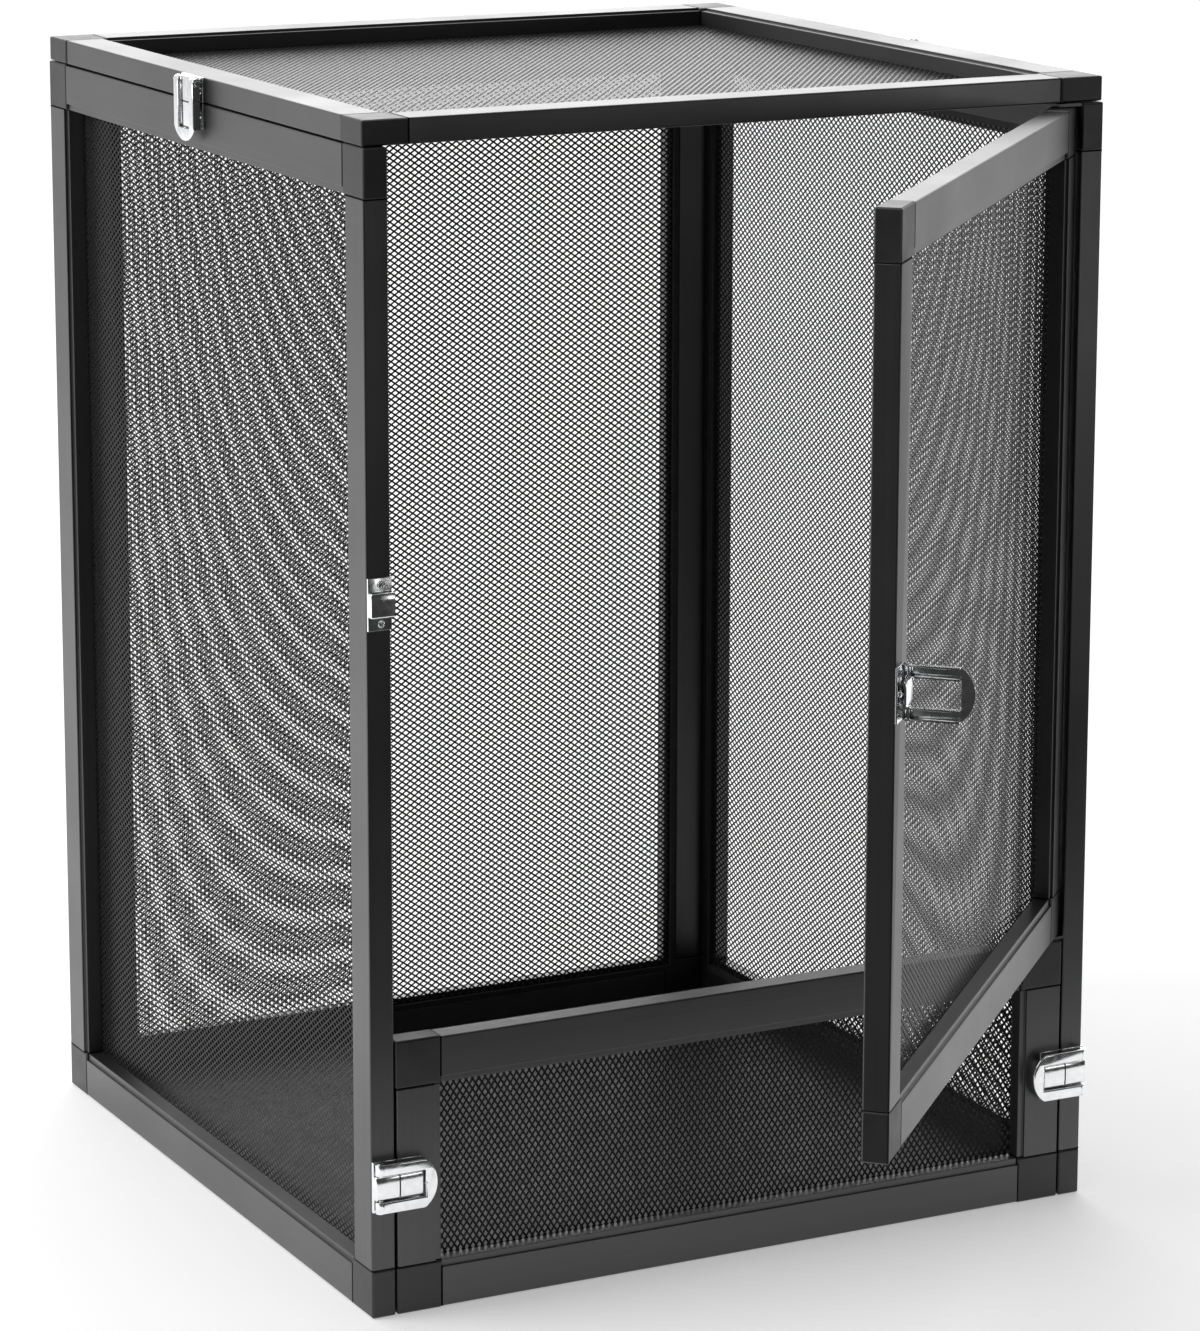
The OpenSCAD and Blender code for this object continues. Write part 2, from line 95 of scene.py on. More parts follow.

# %% [markdown]
# ## Small helpers
# Every finish below is a few shader nodes joined up, and every piece is a mesh with a name, a finish and a
# body to ride on. A few short helpers say those things in one line each.

# %% Helpers for shader nodes and pieces
TEXTURE_SPAN = (0.3, 0.7)


def map_range(tree, taken, given):
    """A node that carries numbers from one range over to another."""
    made = tree.nodes.new("ShaderNodeMapRange")
    for socket, value in zip(("From Min", "From Max", "To Min", "To Max"), taken + given):
        made.inputs[socket].default_value = value
    return made


class Finish:
    """A material under construction: add nodes by type, then link their sockets."""

    def __init__(self, name):
        self.material = bpy.data.materials.new(name)
        self.material.use_nodes = True
        self.tree = self.material.node_tree
        self.surface = self.tree.nodes["Principled BSDF"]

    def node(self, kind, **sockets):
        made = self.tree.nodes.new(kind)
        for socket, value in sockets.items():
            made.inputs[socket.replace("_", " ")].default_value = value
        return made

    def link(self, source, output, target, socket):
        self.tree.links.new(source.outputs[output], target.inputs[socket])

    def set(self, **sockets):
        for socket, value in sockets.items():
            self.surface.inputs[socket.replace("_", " ")].default_value = value

    def place(self, scale, turn=0.0):
        """Object coordinates, scaled, and turned about the upright axis by an angle in degrees."""
        where = self.node("ShaderNodeTexCoord")
        mapping = self.node("ShaderNodeMapping")
        mapping.vector_type = "TEXTURE"
        mapping.inputs["Rotation"].default_value = (0, 0, math.radians(turn))
        mapping.inputs["Scale"].default_value = tuple(1 / s for s in scale)
        self.link(where, "Object", mapping, "Vector")
        return mapping

    def noise(self, place, detail=3.0, roughness=0.5):
        made = self.node("ShaderNodeTexNoise", Scale=1.0, Detail=detail, Roughness=roughness)
        self.link(place, "Vector", made, "Vector")
        return made

    def between(self, source, low, high):
        """Two colours, mixed by a texture's value."""
        ramp = self.node("ShaderNodeValToRGB")
        for stop, position, colour in zip(ramp.color_ramp.elements, TEXTURE_SPAN, (low, high)):
            stop.position = position
            stop.color = (*colour, 1)
        self.link(source, "Fac", ramp, "Fac")
        self.link(ramp, "Color", self.surface, "Base Color")

    def vary(self, source, socket, low, high):
        """A number on the surface, spread between low and high by a texture's value."""
        spread = map_range(self.tree, TEXTURE_SPAN, (low, high))
        self.link(source, "Fac", spread, "Value")
        self.link(spread, "Result", self.surface, socket)

    def bump(self, source, strength, distance):
        made = self.node("ShaderNodeBump", Strength=strength, Distance=distance)
        self.link(source, "Fac", made, "Height")
        self.link(made, "Normal", self.surface, "Normal")


def grey(level, tint=0.0):
    """A near-neutral colour, its blue a little above its red."""
    return (level * (1 - tint), level, level * (1 + tint))


def piece(name, mesh, material, body, place=None):
    """An object for a mesh, with its finish, riding on a body."""
    made = bpy.data.objects.new(name, mesh)
    bpy.context.scene.collection.objects.link(made)
    if not mesh.materials:
        mesh.materials.append(material)
    if place is not None:
        made.matrix_world = place
    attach(made, body)
    return made


print("helpers ready")

# %% [markdown]
# ## Floor and light
# Satin black metal shows what stands round it more than its own colour. The white floor and the bright
# surroundings behind the object give the tops and the left side their grey sheen, and the dark side behind
# the camera keeps the front faces deep. Two large lamps, on the left rear and above, do the plain lighting.
# A low, weak one in front lifts only the upper front faces, and a near one is aimed at the free edge of the
# open door. The floor lets the camera see a little glow of its own, which grows with distance, so that it
# stays as white as the background and still keeps the shadow.

# %% Floor, surroundings and lamps
FLOOR_HALF = 4.5
FLOOR_FRONT = -0.5
FLOOR_BACK = 8.0
FLOOR_DROP = 0.0002
FLOOR_WHITE = 0.7
FLOOR_GLOW = (0.36, 0.6)
GLOW_GROWS = (0.5, 3.0)
FLOOR_SHEEN = 0.5


def white_floor():
    """A white floor that the camera sees as bright as the background, less the object's shadow."""
    finish = Finish("white_floor")
    finish.set(Base_Color=(*grey(FLOOR_WHITE), 1), Roughness=0.9)
    finish.set(Specular_IOR_Level=0.0)
    glow = finish.node("ShaderNodeEmission")
    path = finish.node("ShaderNodeLightPath")
    seen = finish.node("ShaderNodeMath")
    seen.operation = "MULTIPLY"
    finish.link(path, "Is Camera Ray", seen, 0)
    where = finish.node("ShaderNodeSeparateXYZ")
    finish.link(finish.node("ShaderNodeTexCoord"), "Object", where, "Vector")
    far = map_range(finish.tree, GLOW_GROWS, FLOOR_GLOW)
    finish.link(where, "Y", far, "Value")
    finish.link(far, "Result", seen, 1)
    reflected = finish.node("ShaderNodeMath")
    reflected.operation = "MULTIPLY_ADD"
    reflected.inputs[1].default_value = FLOOR_SHEEN
    finish.link(path, "Is Glossy Ray", reflected, 0)
    finish.link(seen, "Value", reflected, 2)
    finish.link(reflected, "Value", glow, "Strength")
    both = finish.node("ShaderNodeAddShader")
    finish.link(finish.surface, "BSDF", both, 0)
    finish.link(glow, "Emission", both, 1)
    finish.link(both, "Shader", finish.tree.nodes["Material Output"], "Surface")
    return finish.material


floor_corners = [
    (-FLOOR_HALF, FLOOR_FRONT, -FLOOR_DROP), (FLOOR_HALF, FLOOR_FRONT, -FLOOR_DROP),
    (FLOOR_HALF, FLOOR_BACK, -FLOOR_DROP), (-FLOOR_HALF, FLOOR_BACK, -FLOOR_DROP),
]
floor_mesh = bpy.data.meshes.new("floor")
floor_mesh.from_pydata(floor_corners, [], [(0, 1, 2, 3)])
floor_mesh.materials.append(white_floor())
floor = bpy.data.objects.new("floor", floor_mesh)
bpy.context.scene.collection.objects.link(floor)

FRONT_GLOW = 0.04
SIDE_GLOW = 0.85
REAR_GLOW = 3.0
REAR_AT = (0.446, 0.87, 0.21)
FRONT_TO_SIDE = (-0.45, 0.1)
REAR_RIM = (0.84, 0.97)


def surroundings():
    """White for the camera; for the light, white behind and at the sides and dark in front."""
    world = bpy.data.worlds.new("surroundings")
    bpy.context.scene.world = world
    world.use_nodes = True
    tree = world.node_tree
    background = tree.nodes["Background"]
    direction = tree.nodes.new("ShaderNodeTexCoord")
    split = tree.nodes.new("ShaderNodeSeparateXYZ")
    tree.links.new(direction.outputs["Generated"], split.inputs["Vector"])
    towards = tree.nodes.new("ShaderNodeVectorMath")
    towards.operation = "DOT_PRODUCT"
    towards.inputs[1].default_value = REAR_AT
    tree.links.new(direction.outputs["Generated"], towards.inputs[0])
    both = tree.nodes.new("ShaderNodeMath")
    for slot, (source, taken, given) in enumerate((
        (split.outputs["Y"], FRONT_TO_SIDE, (FRONT_GLOW, SIDE_GLOW)),
        (towards.outputs["Value"], REAR_RIM, (0, REAR_GLOW - SIDE_GLOW)),
    )):
        spread = map_range(tree, taken, given)
        tree.links.new(source, spread.inputs["Value"])
        tree.links.new(spread.outputs["Result"], both.inputs[slot])
    seen = tree.nodes.new("ShaderNodeMix")
    seen.inputs["B"].default_value = 1
    tree.links.new(tree.nodes.new("ShaderNodeLightPath").outputs["Is Camera Ray"], seen.inputs["Factor"])
    tree.links.new(both.outputs["Value"], seen.inputs["A"])
    tree.links.new(seen.outputs["Result"], background.inputs["Strength"])
    background.inputs["Color"].default_value = (1, 1, 1, 1)


surroundings()


def lamp(name, at, aim, width, height, power):
    """A soft rectangular lamp that looks from one point to another."""
    data = bpy.data.lights.new(name, "AREA")
    data.shape = "RECTANGLE"
    data.size, data.size_y = width, height
    data.energy = power
    made = bpy.data.objects.new(name, data)
    turn = (Vector(aim) - Vector(at)).to_track_quat("-Z", "Y")
    made.matrix_world = Matrix.Translation(at) @ turn.to_matrix().to_4x4()
    made.visible_camera = False
    bpy.context.scene.collection.objects.link(made)


lamp("left_lamp", at=(-2.4, 0.7, 1.9), aim=(0, 0, 0.3), width=1.6, height=1.6, power=40)
lamp("top_lamp", at=(0.2, 0.9, 2.6), aim=(0, 0, 0.3), width=1.8, height=1.8, power=25)
lamp("front_lamp", at=(0.95, -2.05, 0.42), aim=(0, -0.2, 0.55), width=1.0, height=0.5, power=3.2)
lamp("near_lamp", at=(-1.7, -1.3, 1.6), aim=(-0.06, -0.48, 0.37), width=1.2, height=1.0, power=4.5)
bpy.context.scene.view_settings.view_transform = "Standard"
print("floor front edge", FLOOR_FRONT, "m, lamps", len(bpy.data.lights))

# %% [markdown]
# ## Finishes
# The rails are drawn aluminium under a satin black coat: a fine orange-peel bump, and faint lines along
# each rail left by the die. The lines need a direction, so there is one finish for each way a rail can run.

# %% Coated aluminium
OPEN_ANGLE = -JOINTS["door_swing"]["range_deg"][0]
PEEL_SCALE = 1400
CLOUD_SCALE = 14
DIE_LINES = {"x": (3, 420, 420), "y": (420, 3, 420), "z": (420, 420, 3)}


def coated_aluminium(along, turn=0.0):
    """Satin black coat with die lines along one axis, turned with the door where needed."""
    finish = Finish(f"coated_aluminium_{along}" + ("_turned" if turn else ""))
    lines = finish.noise(finish.place(DIE_LINES[along], turn), detail=2)
    finish.between(lines, low=grey(0.010, tint=0.02), high=grey(0.018, tint=0.02))
    clouds = finish.noise(finish.place((CLOUD_SCALE,) * 3), detail=4)
    finish.vary(clouds, "Roughness", low=0.33, high=0.41)
    peel = finish.noise(finish.place((PEEL_SCALE,) * 3), detail=2)
    finish.bump(peel, strength=0.12, distance=0.06 * MM)
    finish.set(Specular_IOR_Level=1.0)
    return finish.material


COATED = {along: coated_aluminium(along) for along in DIE_LINES}
COATED_DOOR = {"x": coated_aluminium("x", OPEN_ANGLE), "z": coated_aluminium("z", OPEN_ANGLE)}
print("coated finishes:", len(COATED) + len(COATED_DOOR))

# %% [markdown]
# The corner connectors are moulded plastic. Next to the metal they look cloudier and a shade lighter, with
# a fine grain, so their colour drifts over a few centimetres and their bump is finer and deeper.

# %% Connector plastic


def connector_plastic():
    finish = Finish("connector_plastic")
    clouds = finish.noise(finish.place((45, 45, 45)), detail=5, roughness=0.6)
    finish.between(clouds, low=grey(0.013, tint=0.01), high=grey(0.028, tint=0.01))
    finish.vary(clouds, "Roughness", low=0.38, high=0.52)
    grain = finish.noise(finish.place((2600, 2600, 2600)), detail=2)
    finish.bump(grain, strength=0.2, distance=0.08 * MM)
    finish.set(Specular_IOR_Level=0.55)
    return finish.material


PLASTIC = connector_plastic()
print("made", PLASTIC.name)

# %% [markdown]
# The latches are plated steel, bright and nearly smooth. Pressed sheet is never quite flat, so a very weak,
# broad bump bends its reflections.

# %% Chrome


def bright_chrome():
    finish = Finish("chrome")
    wear = finish.noise(finish.place((260, 260, 260)), detail=3)
    finish.between(wear, low=grey(0.78, tint=0.01), high=grey(0.9, tint=0.01))
    finish.vary(wear, "Roughness", low=0.11, high=0.2)
    waves = finish.noise(finish.place((190, 190, 190)), detail=1)
    finish.bump(waves, strength=0.12, distance=0.35 * MM)
    finish.set(Metallic=1.0)
    return finish.material


CHROME = bright_chrome()
print("made", CHROME.name)

# %% [markdown]
# The strands of the nets have a thin black coat that is duller than the rails' coat, so that they hardly
# mirror the bright surroundings. The spline that holds a net is dull black rubber, and the floor board is a
# plain black sheet with a fine grain.

# %% Strands, rubber and board


def coated_wire():
    finish = Finish("coated_wire")
    specks = finish.noise(finish.place((900, 900, 900)), detail=2)
    finish.between(specks, low=grey(0.012, tint=0.02), high=grey(0.024, tint=0.02))
    finish.vary(specks, "Roughness", low=0.22, high=0.36)
    finish.set(Specular_IOR_Level=0.08)
    return finish.material


def spline_rubber():
    finish = Finish("spline_rubber")
    dust = finish.noise(finish.place((300, 300, 300)), detail=3)
    finish.between(dust, low=grey(0.014), high=grey(0.026))
    finish.bump(dust, strength=0.2, distance=0.1 * MM)
    finish.set(Roughness=0.7)
    return finish.material


def board_sheet():
    finish = Finish("board_sheet")
    grain = finish.noise(finish.place((120, 120, 120)), detail=6)
    finish.between(grain, low=grey(0.016), high=grey(0.03))
    finish.vary(grain, "Roughness", low=0.45, high=0.6)
    finish.bump(grain, strength=0.15, distance=0.2 * MM)
    return finish.material


WIRE = coated_wire()
RUBBER = spline_rubber()
BOARD = board_sheet()
print("made", WIRE.name, RUBBER.name, BOARD.name)

# %% [markdown]
# ## Painting the frame's own parts
# Rails, connectors, spline, board and hinge have the right shape already, so they stay as they are and only
# get their finish. The name of a rail says which way it runs.

# %% Paint the parts that stay
RUNS_UP = ("post", "stile")
FRONT_TO_BACK = ("left_top_rail", "left_bottom_rail", "right_top_rail", "right_bottom_rail",
                 "lid_left_rail", "lid_right_rail")


def paint(name, material):
    frame["nodes"][name].data.materials.clear()
    frame["nodes"][name].data.materials.append(material)


def finish_for(name):
    """The finish of a frame part, from its name, or None where a new piece takes its place."""
    if name.endswith("corners"):
        return PLASTIC
    if "spline" in name:
        return RUBBER
    if name == "floor_board":
        return BOARD
    if name.startswith("hinge_"):
        return COATED["y"]
    if name in FRONT_TO_BACK:
        return COATED["y"]
    if name.endswith(RUNS_UP):
        return (COATED_DOOR if name.startswith("door_") else COATED)["z"]
    if name.endswith("rail"):
        return (COATED_DOOR if name.startswith("door_") else COATED)["x"]
    return None


for name in sorted(frame["nodes"]):
    paint(name, finish_for(name) or CHROME)
print("painted", len(frame["nodes"]), "parts")

# %% [markdown]
# ## Softer edges
# No real edge is quite sharp, and a rounded edge catches a thin line of light that a sharp one never shows.
# The frame's meshes have to stay as they are, so the rounding is done by modifiers on top of them. The
# vertices are welded first, because an edge can only be rounded where the faces on both sides share it.

# %% Round the edges of rails and connectors
WELD_WITHIN = 0.001 * MM
CONNECTOR_ROUND = 0.6 * MM
RAIL_ROUND = 0.35 * MM
SHARP_FROM = math.radians(40)


def soften(name, radius):
    """Round the sharp edges of a frame part with modifiers, which leave its mesh alone."""
    weld = frame["nodes"][name].modifiers.new("weld", "WELD")
    weld.merge_threshold = WELD_WITHIN
    bevel = frame["nodes"][name].modifiers.new("bevel", "BEVEL")
    bevel.width = radius
    bevel.segments = 2
    bevel.limit_method = "ANGLE"
    bevel.angle_limit = SHARP_FROM


softened = [name for name in sorted(frame["nodes"]) if name.endswith(("corners", "post", "stile", "rail"))]
for name in softened:
    soften(name, CONNECTOR_ROUND if name.endswith("corners") else RAIL_ROUND)
print("softened", len(softened), "parts")

# %% [markdown]
# ## The nets
# Each frame is filled with a fine diamond net of thin black metal. The solid model holds a coarse grid in
# its place, so the net is made here, strand by strand: two sets of thin flat strands that cross at a slant
# in one plane. A picture of a net mapped on a sheet would be lighter, but it would have no thickness and no
# real holes. The second set is a touch thinner, so that no two faces lie in the same plane. Every strand is
# clipped to the sheet's edges, which are hidden in the frame. The sheets are stretched a little differently
# in each frame, so each one has a diamond and a strand width of its own.

# %% Strands of a net
STRAND_T = 0.2 * MM
STRAND_EDGE = 0.06 * MM
STRAND_STEP = 20 * MM
UNDERCUT = 0.02 * MM
SHORTEST = 2 * MM


def clipped(point, direction, size):
    """The stretch of a line that lies in a rectangle from the origin to size, as two distances, or None."""
    near, far = -math.inf, math.inf
    for p, d, s in zip(point, direction, size):
        a, b = -p / d, (s - p) / d
        near, far = max(near, min(a, b)), min(far, max(a, b))
    return (near, far) if far - near > SHORTEST else None


def slanted_lines(size, diamond, lean):
    """Ends of the parallel strands of one set, in the sheet's own plane."""
    slant = math.atan2(*diamond)
    along = (lean * math.sin(slant), math.cos(slant))
    across = (math.cos(slant), -lean * math.sin(slant))
    pitch = diamond[0] * math.cos(slant)
    reach = int((size[0] + size[1]) / pitch / 2) + 1
    lines = []
    for step in range(-reach, reach + 1):
        point = [s / 2 + step * pitch * a for s, a in zip(size, across)]
        span = clipped(point, along, size)
        if span:
            lines.append([[p + t * d for p, d in zip(point, along)] for t in span])
    return lines


def net_mesh(name, origin, right, up, out, size, diamond, width):
    """Both sets of strands; origin is the sheet's lower left corner on its outer face."""
    vertices, faces = [], []
    for lean, thinner in ((1, 0), (-1, UNDERCUT)):
        half, edge = width / 2, STRAND_T / 2 - thinner
        section = [(half, 0), (half - STRAND_EDGE, edge), (STRAND_EDGE - half, edge),
                   (-half, 0), (STRAND_EDGE - half, -edge), (half - STRAND_EDGE, -edge)]
        count = len(section)
        for start, end in slanted_lines(size, diamond, lean):
            ends = [origin + right * p[0] + up * p[1] - out * STRAND_T / 2 for p in (start, end)]
            side = (ends[1] - ends[0]).normalized().cross(out)
            rim = [side * across + out * lift for across, lift in section]
            first = len(vertices)
            steps = max(1, round((ends[1] - ends[0]).length / STRAND_STEP))
            for ring in range(steps + 1):
                centre = ends[0].lerp(ends[1], ring / steps)
                vertices.extend(centre + r for r in rim)
            for ring in range(steps):
                here = first + ring * count
                for k in range(count):
                    n = (k + 1) % count
                    faces.append((here + k, here + count + k, here + count + n, here + n))
            faces.append(tuple(first + k for k in range(count)))
            faces.append(tuple(len(vertices) - 1 - k for k in range(count)))
    mesh = bpy.data.meshes.new(name)
    mesh.from_pydata(vertices, [], faces)
    return mesh


print("a strand is", STRAND_T / MM, "mm thick")

# %% [markdown]
# A net needs to know which way its sheet faces. For each sheet the list below has the body that it rides
# on, the directions to its right, up and outwards as seen from outside, the width and height of a diamond,
# and the width of a strand. The door's directions are turned with the open door.

# %% Hang the nets
X, Y, Z = Vector((1, 0, 0)), Vector((0, 1, 0)), Vector((0, 0, 1))
DOOR_TURN = Matrix.Rotation(math.radians(OPEN_ANGLE), 3, "Z")
SHEETS = {
    "left_screen": ("enclosure", -Y, Z, -X, (5.45 * MM, 3.75 * MM), 0.93 * MM),
    "right_screen": ("enclosure", Y, Z, X, (5.25 * MM, 3.75 * MM), 1.1 * MM),
    "back_screen": ("enclosure", -X, Z, Y, (5.3 * MM, 3.7 * MM), 1.1 * MM),
    "panel_screen": ("lower_panel", X, Z, -Y, (3.55 * MM, 5.4 * MM), 1.1 * MM),
    "door_screen": ("door", DOOR_TURN @ X, Z, DOOR_TURN @ -Y, (5.0 * MM, 3.6 * MM), 1.3 * MM),
    "lid_screen": ("lid", X, Y, Z, (3.85 * MM, 5.2 * MM), 1.2 * MM),
}


def reach(node, axes):
    """How far a frame part reaches along each axis, as its lowest and its highest values."""
    points = np.array([v.co for v in frame["nodes"][node].data.vertices])
    spans = [points @ np.array(axis) for axis in axes]
    return [float(span.min()) for span in spans], [float(span.max()) for span in spans]


def net(node, body, right, up, out, diamond, width):
    """The net that stands for a sheet of the frame."""
    low, high = reach(node, (right, up, out))
    origin = right * low[0] + up * low[1] + out * high[2]
    size = (high[0] - low[0], high[1] - low[1])
    mesh = net_mesh(node.replace("screen", "net"), origin, right, up, out, size, diamond, width)
    made = piece(mesh.name, mesh, WIRE, body)
    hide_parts(node)
    print(mesh.name, "%.0f x %.0f mm" % (size[0] / MM, size[1] / MM), len(mesh.polygons), "faces")


for node, sheet in SHEETS.items():
    net(node, *sheet)

# %% [markdown]
# ## Solids from an outline
# The latches are pressed from sheet steel. Sheet metal has no sharp edge anywhere, and it is the rounded
# edges that catch the light. So every sheet here is an outline stacked in rings: each ring has a height,
# and a step inwards that rounds the edge. Outlines run anticlockwise and holes run clockwise, so that
# stepping to the left always goes into the metal. A part is a plain pair of vertices and faces until it is
# joined into a piece.

# %% Stack an outline into a solid
ROUND_STEPS = 3
QUARTER = [k * math.pi / 2 / ROUND_STEPS for k in range(ROUND_STEPS + 1)]
DOME_STEPS, DOME_END = 6, math.radians(80)
DOME_TURNS = [k * DOME_END / DOME_STEPS for k in range(DOME_STEPS + 1)]


def stepped_in(loop, distance):
    """A closed outline moved towards its left-hand side."""
    moved = []
    for k, here in enumerate(loop):
        arriving = (here - loop[k - 1]).normalized()
        leaving = (loop[(k + 1) % len(loop)] - here).normalized()
        side = Vector((-arriving.y - leaving.y, arriving.x + leaving.x))
        moved.append(here + side * (2 * distance / side.length_squared))
    return moved


def rounded(low, high, edge, top_edge=None):
    """Rings of a sheet between two heights, with quarter-round edges."""
    def quarter(radius):
        return [(radius * (1 - math.cos(turn)), radius * (1 - math.sin(turn))) for turn in QUARTER]
    rising = [(low + up, step) for up, step in quarter(edge)]
    return rising + [(high - up, step) for up, step in reversed(quarter(top_edge or edge))]


def domed(low, high, radius):
    """Rings of a shallow dome that stops just short of its pole."""
    return [(low + (high - low) * math.sin(turn), radius * (1 - math.cos(turn))) for turn in DOME_TURNS]


def stacked(loops, levels):
    """A closed solid from outlines and levels, each level a height and a step inwards."""
    vertices, faces, starts = [], [], []
    for loop in loops:
        count, first = len(loop), len(vertices)
        starts.append((first, count))
        for height, step in levels:
            vertices.extend(Vector((p.x, p.y, height)) for p in stepped_in(loop, step))
        for row in range(first, first + (len(levels) - 1) * count, count):
            for k in range(count):
                n = (k + 1) % count
                faces.append((row + k, row + n, row + count + n, row + count + k))
    for level in (0, len(levels) - 1):
        rings = [list(range(first + level * count, first + (level + 1) * count)) for first, count in starts]
        numbers = [number for ring in rings for number in ring]
        flat = tessellate_polygon([[vertices[number] for number in ring] for ring in rings])
        faces.extend(tuple(numbers[k] for k in triangle) for triangle in flat)
    return vertices, faces


def circle(radius, sides=24, at=(0, 0)):
    turns = [k * 2 * math.pi / sides for k in range(sides)]
    return [Vector((at[0] + radius * math.cos(turn), at[1] + radius * math.sin(turn))) for turn in turns]


def rectangle(left, low, right, high):
    return [Vector((left, low)), Vector((right, low)), Vector((right, high)), Vector((left, high))]


def turned(part, matrix):
    vertices, faces = part
    return [matrix @ vertex for vertex in vertices], faces


def joined(name, parts):
    """One mesh from closed parts, its faces turned outwards and its soft edges shaded smooth."""
    vertices, faces = [], []
    for part_vertices, part_faces in parts:
        first = len(vertices)
        vertices.extend(part_vertices)
        faces.extend(tuple(first + k for k in face) for face in part_faces)
    mesh = bpy.data.meshes.new(name)
    mesh.from_pydata(vertices, [], faces)
    work = bmesh.new()
    work.from_mesh(mesh)
    bmesh.ops.recalc_face_normals(work, faces=work.faces)
    work.to_mesh(mesh)
    work.free()
    mesh.shade_smooth()
    mesh.set_sharp_from_angle(angle=SHARP_FROM)
    return mesh


print("a rounded plate has", len(stacked([rectangle(0, 0, 2, 1)], rounded(0, 0.5, 0.1))[1]), "faces")

# %% [markdown]
# ## Painted shade in the joints
# Where a rail meets its connector, the real frame has a narrow gap, and its shade shows as a dark line.
# Here that shade is painted: a thin near-black strip fills each joint, a little lower than the faces on both
# sides. It is only a millimetre wide, but it draws a dark line round every joint, and without it the frames
# would look like one piece. A strip is the rail's own outline, drawn in a little and made thin. The outline
# is in millimetres, in from the frame's edge and down from its outer face. The door's hinge stile has a round
# edge, so its strips start further in.

# %% Painted shade strips between rails and connectors
RAIL_W, RAIL_T, LIP_W, LIP_DROP = 25.0, 13.0, 3.5, 1.5
SHEET_DEPTH, GROOVE_FLOOR, GROOVE_OUT, GROOVE_IN = 9.8, 8.0, 18.0, 21.6
CONNECTOR_PROUD, SEAM_W = 0.5, 0.3
SEAM_STRIP_HALF, SEAM_STRIP_DEEP = 0.5, 0.12
ROUND_EDGE = 6.5


def painted_seam_shade():
    # Near black and dull: this finish is painted shade, standing for the dark gap in a joint.
    finish = Finish("painted_seam_shade")
    dust = finish.noise(finish.place((500, 500, 500)), detail=2)
    finish.between(dust, low=grey(0.003), high=grey(0.006))
    finish.set(Roughness=0.8, Specular_IOR_Level=0.1)
    return finish.material


def seam_strip_outline(start):
    """The rail's outline from its outer edge to the sheet, anticlockwise with the outer face on top."""
    return [Vector(p) for p in (
        (start, -RAIL_T), (GROOVE_OUT, -RAIL_T), (GROOVE_OUT, -GROOVE_FLOOR), (GROOVE_IN, -GROOVE_FLOOR),
        (GROOVE_IN, -SHEET_DEPTH), (RAIL_W, -SHEET_DEPTH), (RAIL_W, -LIP_DROP), (RAIL_W - LIP_W, -LIP_DROP),
        (RAIL_W - LIP_W, 0), (start, 0),
    )]


def seam_shade_strips(sheet, body, right, up, out):
    """The eight painted shade strips of one frame, two on each rail."""
    low, high = reach(sheet.replace("screen", "corners"), (right, up, out))
    widths, heights = (low[0], high[0]), (low[1], high[1])
    parts = []
    for along, across, ends, sides in ((right, up, widths, heights), (up, right, heights, widths)):
        for end, inwards in zip(ends, (1, -1)):
            at = end + inwards * (RAIL_W + SEAM_W / 2) * MM
            for side, inside in zip(sides, (1, -1)):
                round_edge = body == "door" and along == up and inside < 0
                outline = seam_strip_outline(ROUND_EDGE if round_edge else CONNECTOR_PROUD)
                slab = stacked([outline], [(-SEAM_STRIP_HALF, SEAM_STRIP_DEEP), (SEAM_STRIP_HALF, SEAM_STRIP_DEEP)])
                axes = Matrix((across * inside, out, along)).transposed().to_4x4()
                base = along * at + across * side + out * high[2]
                parts.append(turned(slab, Matrix.Translation(base) @ axes @ Matrix.Scale(MM, 4)))
    name = sheet.replace("screen", "seam_shade_strips")
    piece(name, joined(name, parts), PAINTED_SEAM_SHADE, body)
    print(name, len(parts), "seam_shade_strips")


# Painted shade: a near-black strip in every joint between a rail and its connector.
PAINTED_SEAM_SHADE = painted_seam_shade()
for node, sheet in SHEETS.items():
    seam_shade_strips(node, *sheet[:4])

# %% [markdown]
# ## The latches
# A latch has two pressed plates that face each other across a seam. Each has a raised block, hollow and
# open at the seam, and two screws beside it, with the round head of a rivet inside the block. The lever
# pivots on one plate and reaches over both blocks, which fill its window. The top of a block is pressed
# with a slight crown. It is nearly flat in the middle and falls off towards the sides, and in bright metal
# even that little slope shows: it turns the reflection from the white floor to the dark room, which draws a
# dark band along the block. All sizes are in millimetres across the seam, along the pivot and out from the
# face. A rail's outer edge lies half a millimetre behind the connectors, and a plate that is fixed there
# reaches that much deeper.

# %% Pressed plates
SEAM_HALF, PLATE_LEN, PLATE_HALF, PLATE_T = 0.4, 12.8, 13.2, 1.0
BLOCK_HALF, BLOCK_TOP, BLOCK_T, BLOCK_EDGE, BLOCK_FOOT = 6.3, 5.2, 1.0, 0.9, 0.9
BLOCK_CROWN, CROWN_POINTS = 0.7, 13
PLATE_EDGE = 0.25
LIP_T, LIP_TOP, LIP_IN = 0.6, 2.0, 0.03
FAR = SEAM_HALF + PLATE_LEN


def block_rings(half, top, far, edge):
    """Cross-sections of a block from the seam to its closed end, each from foot to foot over the top."""
    rings = []
    for turn in [None] + QUARTER:
        shrink = 0 if turn is None else edge * (1 - math.cos(turn))
        across = SEAM_HALF if turn is None else far - edge * (1 - math.sin(turn))
        wide, high = half - shrink, top - shrink
        offs = np.linspace(edge - wide, wide - edge, CROWN_POINTS)
        crown = [(v, high - BLOCK_CROWN * (v / half) ** 4) for v in offs]
        shoulder = crown[0][1] - edge
        side = [(-wide, BLOCK_FOOT)] + [
            (-wide + edge * (1 - math.cos(t)), shoulder + edge * math.sin(t)) for t in QUARTER[:-1]
        ]
        path = side + crown + [(-v, w) for v, w in reversed(side)]
        rings.append([Vector((across, float(v), float(w))) for v, w in path])
    return rings


